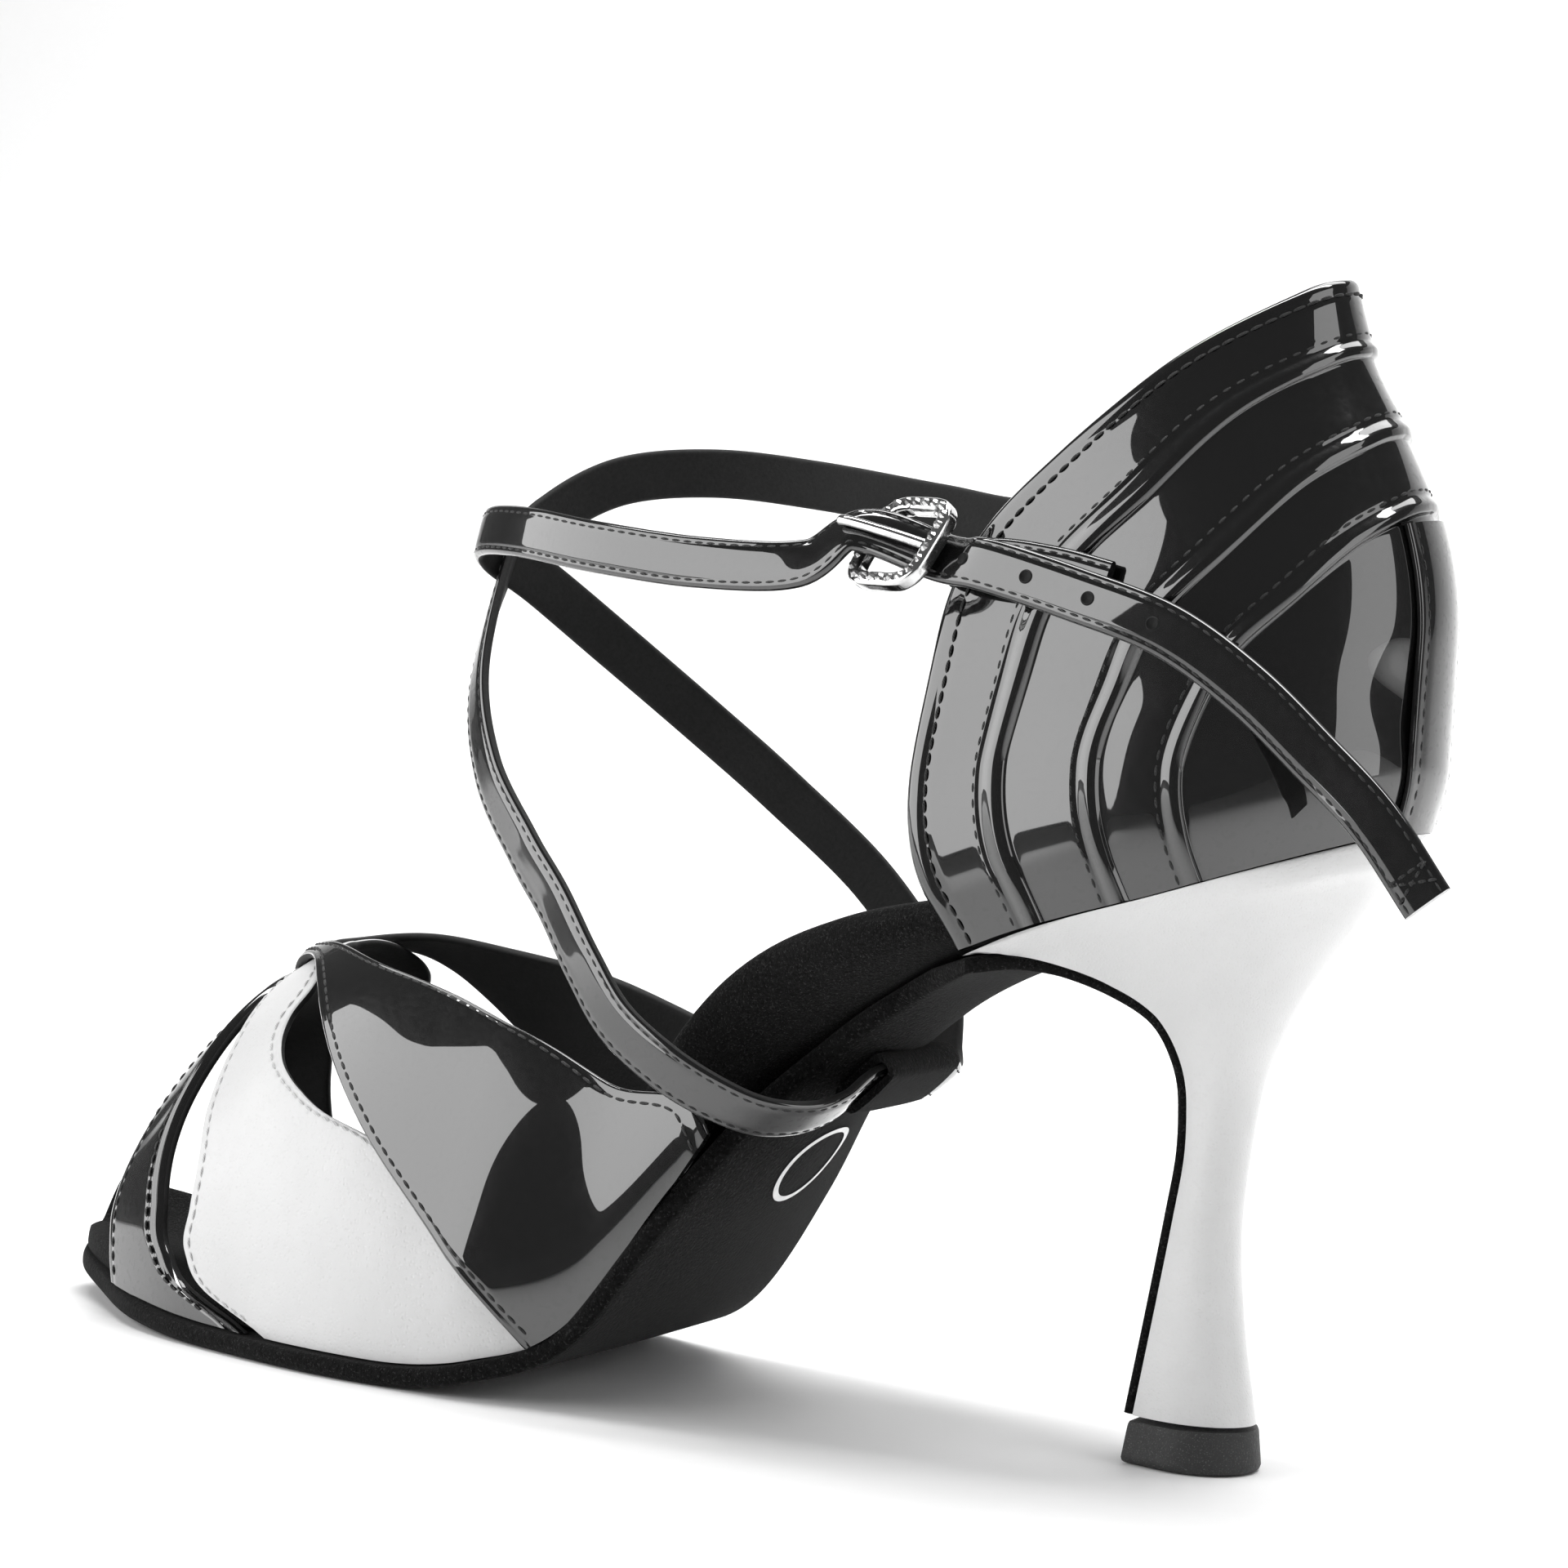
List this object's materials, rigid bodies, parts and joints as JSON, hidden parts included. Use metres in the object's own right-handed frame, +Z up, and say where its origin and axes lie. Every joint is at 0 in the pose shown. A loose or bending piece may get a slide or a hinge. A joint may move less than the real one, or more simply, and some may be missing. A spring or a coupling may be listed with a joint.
{
  "type": "open-toe high-heeled dance sandal",
  "caption": "Open-toe dance sandal with a flared high heel, crossed patent vamp bands, a high stepped counter and a strap that crosses the instep and buckles at the ankle.",
  "frame": {"origin": "centre of the overall box at the floor", "axes": "+X from toe to heel, +Z up, -Y towards the outer, buckled side"},
  "size_m": [0.228, 0.071, 0.1621],
  "materials": {
    "black_suede": "suede nap",
    "insole_suede": "suede nap",
    "black_patent": "patent gloss",
    "white_leather": "smooth",
    "heel_cover": "smooth",
    "tip_plastic": "matte",
    "polished_metal": "polished"
  },
  "bodies": {
    "root": {"outsole": "black_suede", "insole": "insole_suede", "heel": "heel_cover", "heel_tip": "tip_plastic", "toe_strap": "black_patent", "side_panel": "white_leather", "rear_panel": "black_patent", "counter": "black_patent", "backstay": "black_patent", "cross_straps": "black_patent", "arch_tunnel": "black_suede", "buckle_strap": "black_patent", "buckle": "polished_metal", "buckle_prong": "polished_metal"}
  },
  "joints": []
}
